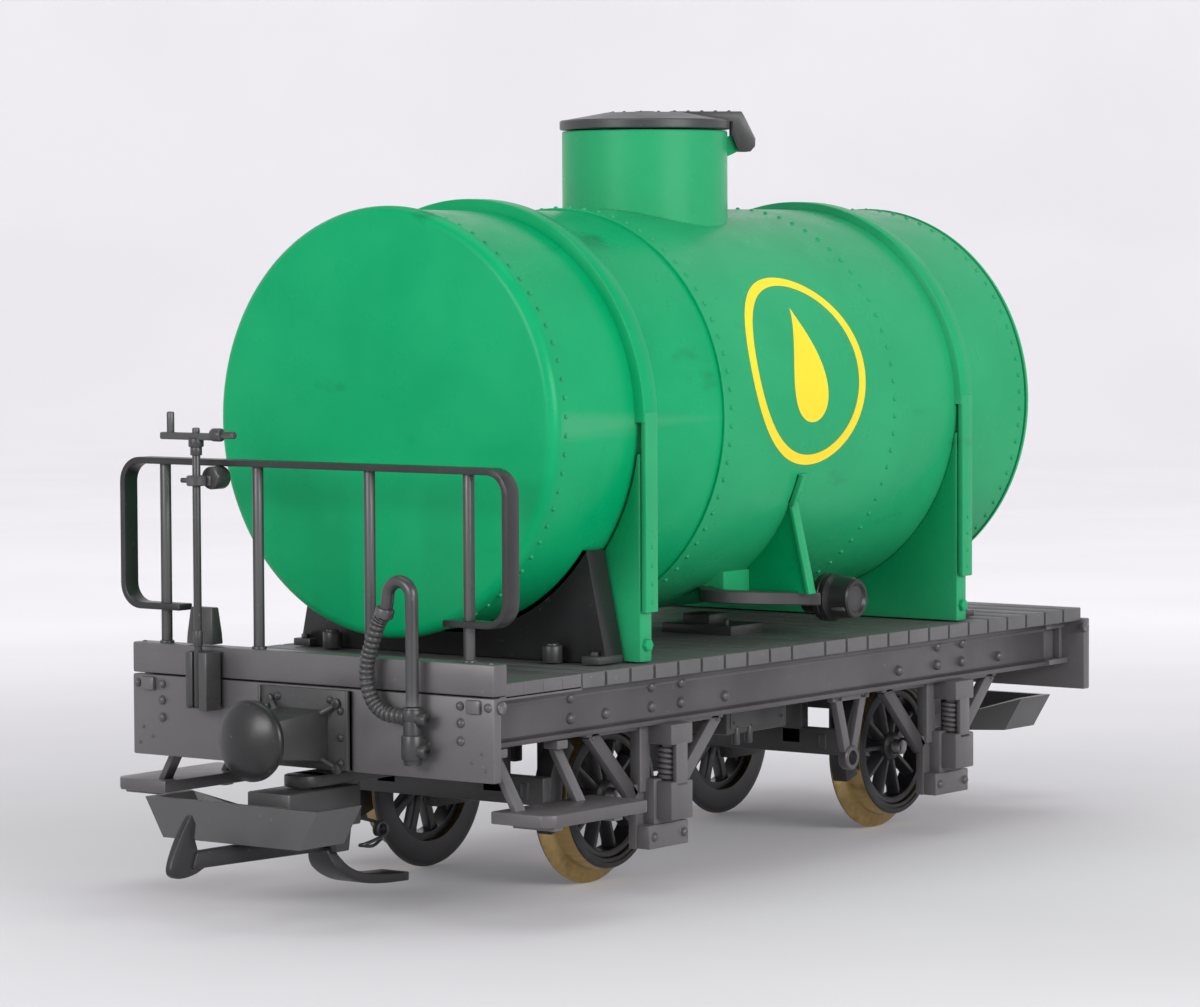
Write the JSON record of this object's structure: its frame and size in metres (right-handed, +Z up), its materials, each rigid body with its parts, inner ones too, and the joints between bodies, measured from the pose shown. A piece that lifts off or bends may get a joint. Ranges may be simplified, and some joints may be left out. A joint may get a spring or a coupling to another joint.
{
  "type": "model tank wagon",
  "caption": "Large-scale model tank wagon with spoked wheelsets, plank deck, strapped tank, hinged dome lid, platform railing with hand brake and hook-and-loop couplers.",
  "frame": {"origin": "middle of the wagon's box, at the bottom of the wheel flanges", "axes": "+X towards the end without the platform, +Z up, -Y towards the side with the outlet"},
  "size_m": [0.2804, 0.11, 0.1561],
  "materials": {
    "tank_green": "satin moulded plastic",
    "frame_grey": "satin moulded plastic",
    "dark_grey": "satin moulded plastic",
    "wheel_black": "satin moulded plastic",
    "tyre_brass": "worn tread",
    "screw_steel": "plain"
  },
  "bodies": {
    "wagon": {"carrier_screw_front": "screw_steel", "buffer_front": "frame_grey", "headstock_front": "frame_grey", "axle_guard_front_near": "frame_grey", "axle_guard_front_far": "frame_grey", "carrier_screw_rear": "screw_steel", "buffer_rear": "frame_grey", "headstock_rear": "frame_grey", "axle_guard_rear_near": "frame_grey", "axle_guard_rear_far": "frame_grey", "solebar_near": "frame_grey", "footboard_near": "frame_grey", "brake_hanger_near": "frame_grey", "solebar_far": "frame_grey", "footboard_far": "frame_grey", "brake_hanger_far": "frame_grey", "platform_beam": "frame_grey", "platform_floor": "frame_grey", "plank_deck": "frame_grey", "underfloor_box": "frame_grey", "end_railing": "frame_grey", "brake_bearing": "frame_grey", "brake_pedestal": "frame_grey", "brake_channel": "frame_grey", "brake_pipe": "dark_grey", "hose_cock": "dark_grey", "tank_barrel": "tank_green", "tank_end_front": "tank_green", "tank_end_rear": "tank_green", "discharge_sump": "tank_green", "tank_strap_front": "tank_green", "tank_strap_rear": "tank_green", "saddle_front": "tank_green", "saddle_rear": "tank_green", "dome": "tank_green", "cradle_front": "dark_grey", "cradle_rear": "dark_grey", "outlet_valve": "dark_grey", "outlet_cap": "dark_grey", "lid_hinge_pin": "screw_steel"},
    "carrier_front": {"axle_carrier_front": "dark_grey", "coupler_screw_front": "screw_steel"},
    "carrier_rear": {"axle_carrier_rear": "dark_grey", "coupler_screw_rear": "screw_steel"},
    "wheelset_front": {"axle_front": "screw_steel", "tyre_front_near": "tyre_brass", "tyre_front_far": "tyre_brass", "wheel_centre_front_near": "wheel_black", "wheel_centre_front_far": "wheel_black"},
    "wheelset_rear": {"axle_rear": "screw_steel", "tyre_rear_near": "tyre_brass", "tyre_rear_far": "tyre_brass", "wheel_centre_rear_near": "wheel_black", "wheel_centre_rear_far": "wheel_black"},
    "front_coupler": {"coupler_front": "frame_grey"},
    "rear_coupler": {"coupler_rear": "frame_grey"},
    "hook": {"coupler_hook": "frame_grey"},
    "hand_brake": {"brake_spindle": "frame_grey", "brake_crank": "frame_grey"},
    "lid": {"dome_lid": "dark_grey"}
  },
  "joints": [
    {"name": "front_carrier_swivel", "type": "hinge", "parent": "wagon", "child": "carrier_front", "pos_m": [-0.03775, 0, 0.03], "axis": [0, 0, 1], "range_deg": [-6, 6]},
    {"name": "rear_carrier_swivel", "type": "hinge", "parent": "wagon", "child": "carrier_rear", "pos_m": [0.06725, 0, 0.03], "axis": [0, 0, 1], "range_deg": [-6, 6]},
    {"name": "front_wheelset_spin", "type": "hinge", "parent": "carrier_front", "child": "wheelset_front", "pos_m": [-0.03775, 0, 0.018], "axis": [0, 1, 0], "continuous": true},
    {"name": "rear_wheelset_spin", "type": "hinge", "parent": "carrier_rear", "child": "wheelset_rear", "pos_m": [0.06725, 0, 0.018], "axis": [0, 1, 0], "continuous": true},
    {"name": "front_coupler_swivel", "type": "hinge", "parent": "carrier_front", "child": "front_coupler", "pos_m": [-0.101, 0, 0.02], "axis": [0, 0, 1], "range_deg": [-18, 18], "stiffness_Nm_per_rad": 0.002},
    {"name": "rear_coupler_swivel", "type": "hinge", "parent": "carrier_rear", "child": "rear_coupler", "pos_m": [0.1185, 0, 0.02], "axis": [0, 0, 1], "range_deg": [-18, 18], "stiffness_Nm_per_rad": 0.002},
    {"name": "hook_dip", "type": "hinge", "parent": "front_coupler", "child": "hook", "pos_m": [-0.095, 0, 0.0134], "axis": [0, 1, 0], "range_deg": [-10, 0], "stiffness_Nm_per_rad": 0.005, "springref_deg": 14.32},
    {"name": "hand_brake_turn", "type": "hinge", "parent": "wagon", "child": "hand_brake", "pos_m": [-0.1038, 0.0246, 0.06], "axis": [0, 0, 1], "continuous": true},
    {"name": "lid_open", "type": "hinge", "parent": "wagon", "child": "lid", "pos_m": [0.02495, -0.0145, 0.1494], "axis": [0.7071, 0.7071, 0], "range_deg": [0, 105]}
  ]
}
